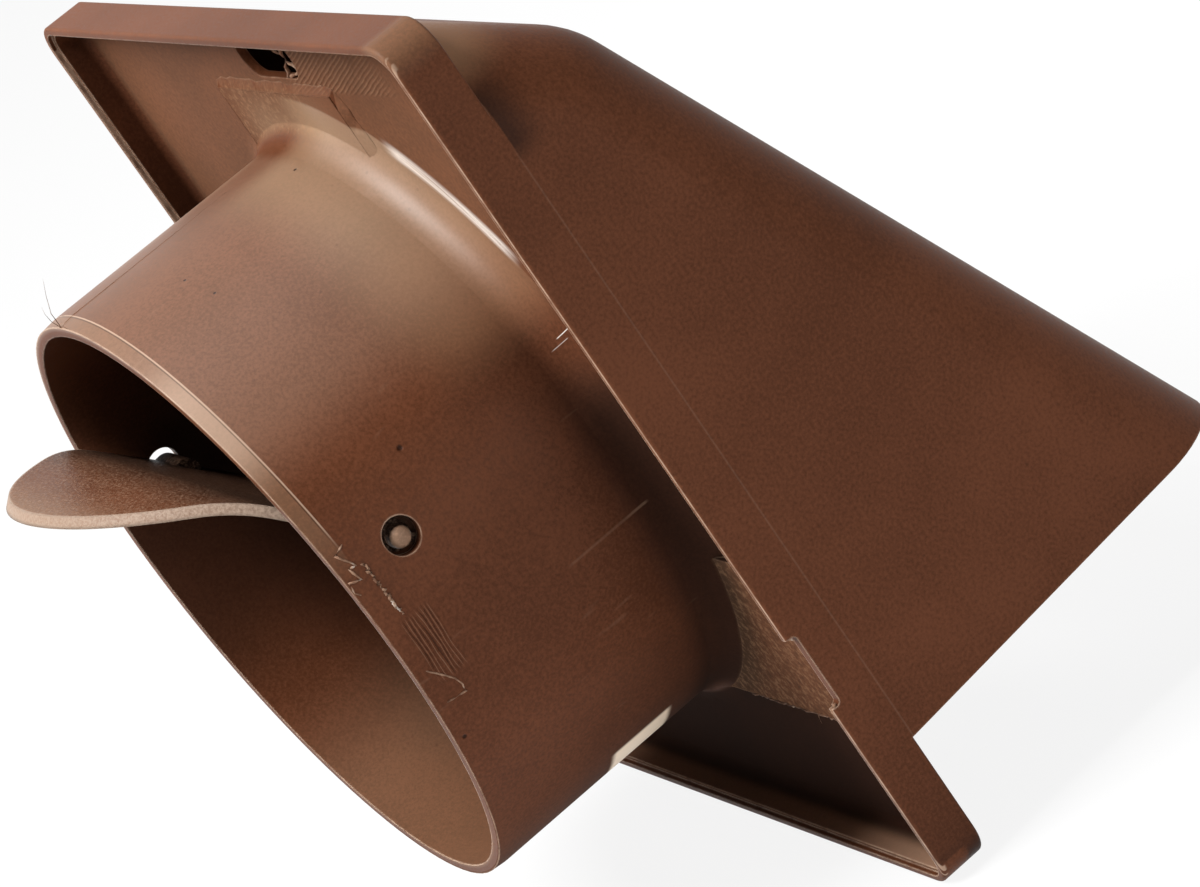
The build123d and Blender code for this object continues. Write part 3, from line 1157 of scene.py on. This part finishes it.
class VENT_OT_stage(bpy.types.Operator):
    """Set up the pale floor, the soft lights and the photograph's camera"""

    bl_idname = "vent.stage"
    bl_label = "Studio"

    def execute(self, context):
        settings = context.scene.vent_stage
        self.floor(settings)
        self.world(context, settings)
        self.lamp("key_light", KEY_LIGHT, settings.key_power)
        self.lamp("sheen_light", SHEEN_LIGHT, settings.sheen_power)
        self.lamp("fill_light", FILL_LIGHT, settings.fill_power)
        self.camera(context)
        context.scene.view_settings.view_transform = "Standard"
        return {"FINISHED"}

    def seen_white(self, nodes):
        """1 for camera, glossy and transmission rays, which show the background."""
        path = nodes.add("ShaderNodeLightPath")
        return nodes.largest(path["Is Camera Ray"], path["Is Glossy Ray"], path["Is Transmission Ray"])

    def floor(self, settings):
        """Large pale floor under the flange."""
        mesh = bpy.data.meshes.new("floor")
        low = CAD_LOW.z - FLOOR_GAP
        ends = ((-1, -1), (1, -1), (1, 1), (-1, 1))
        mesh.from_pydata([(x * FLOOR_HALF, y * FLOOR_HALF, low) for x, y in ends], [], [(0, 1, 2, 3)])
        floor = place("floor", mesh)
        material = bpy.data.materials.new("pale_floor")
        material.use_nodes = True
        nodes = Nodes(material.node_tree)
        matt = nodes.add("ShaderNodeBsdfDiffuse", {"Color": (*settings.floor_white, 1.0)})[0]
        glow = nodes.add("ShaderNodeEmission", {"Color": WHITE, "Strength": 1.0})[0]
        share = nodes.times(self.seen_white(nodes), FLOOR_GLOW)
        blend = nodes.add("ShaderNodeMixShader", {0: share, 1: matt, 2: glow})[0]
        nodes.add("ShaderNodeOutputMaterial", {"Surface": blend})
        mesh.materials.append(material)

    def world(self, context, settings):
        """White surroundings for the camera and reflections, gentle even light for the rest."""
        world = bpy.data.worlds.new("studio")
        world.use_nodes = True
        nodes = Nodes(world.node_tree)
        dim = nodes.add("ShaderNodeBackground", {"Color": WHITE, "Strength": settings.ambient})[0]
        white = nodes.add("ShaderNodeBackground", {"Color": WHITE, "Strength": 1.0})[0]
        blend = nodes.add("ShaderNodeMixShader", {0: self.seen_white(nodes), 1: dim, 2: white})[0]
        nodes.add("ShaderNodeOutputWorld", {"Surface": blend})
        context.scene.world = world

    def lamp(self, name, stand, power):
        """Square soft light aimed at the vent; stand is its place and its size in millimetres."""
        spot, size = stand
        light = bpy.data.lights.new(name, "AREA")
        light.energy = power
        light.size = size * MM
        lamp = place(name, light)
        lamp.location = Vector(spot) * MM
        lamp.rotation_mode = "QUATERNION"
        lamp.rotation_quaternion = (-lamp.location).to_track_quat("-Z", "Y")

    def camera(self, context):
        """Camera at the photograph's place, rolled as the photograph is."""
        bearing, elevation = math.radians(BEARING), math.radians(ELEVATION)
        level = math.cos(elevation)
        back = Vector((math.sin(bearing) * level, -math.cos(bearing) * level, math.sin(elevation)))
        data = bpy.data.cameras.new("camera")
        data.lens = FOCAL_LENGTH
        data.sensor_width = SENSOR_WIDTH
        data.sensor_fit = "HORIZONTAL"
        data.clip_start = CLIP_START
        camera = place("camera", data)
        camera.rotation_mode = "QUATERNION"
        camera.location = (Vector(AIM) + back * AIM_DISTANCE) * MM
        upright = (-back).to_track_quat("-Z", "Y")
        camera.rotation_quaternion = upright @ Quaternion((0.0, 0.0, 1.0), -math.radians(ROLL))
        context.scene.camera = camera


STEPS = (
    VENT_OT_body, VENT_OT_flap, VENT_OT_parting, VENT_OT_skirt, VENT_OT_burrs, VENT_OT_flash, VENT_OT_stage
)
GROUPS = {
    "vent_plastic": VentPlasticSettings,
    "vent_flash": VentFlashSettings,
    "vent_stage": VentStageSettings,
}


class VENT_PT_panel(bpy.types.Panel):
    """Steps and settings of the vent"""

    bl_label = "Hooded wall vent"
    bl_idname = "VENT_PT_panel"
    bl_space_type = "VIEW_3D"
    bl_region_type = "UI"
    bl_category = "Vent"

    def draw(self, context):
        for step in STEPS:
            self.layout.operator(step.bl_idname)
        for group in GROUPS:
            settings = getattr(context.scene, group)
            for name in settings.__annotations__:
                self.layout.prop(settings, name)


CLASSES = (*GROUPS.values(), *STEPS, VENT_PT_panel)


def register():
    for kind in CLASSES:
        bpy.utils.register_class(kind)
    for name, kind in GROUPS.items():
        setattr(bpy.types.Scene, name, PointerProperty(type=kind))


def unregister():
    for name in GROUPS:
        delattr(bpy.types.Scene, name)
    for kind in reversed(CLASSES):
        bpy.utils.unregister_class(kind)


def main():
    register()
    bpy.ops.vent.body()
    bpy.ops.vent.flap()
    bpy.ops.vent.parting()
    bpy.ops.vent.skirt()
    bpy.ops.vent.burrs()
    bpy.ops.vent.flash()
    bpy.ops.vent.stage()


if __name__ == "__main__":
    main()
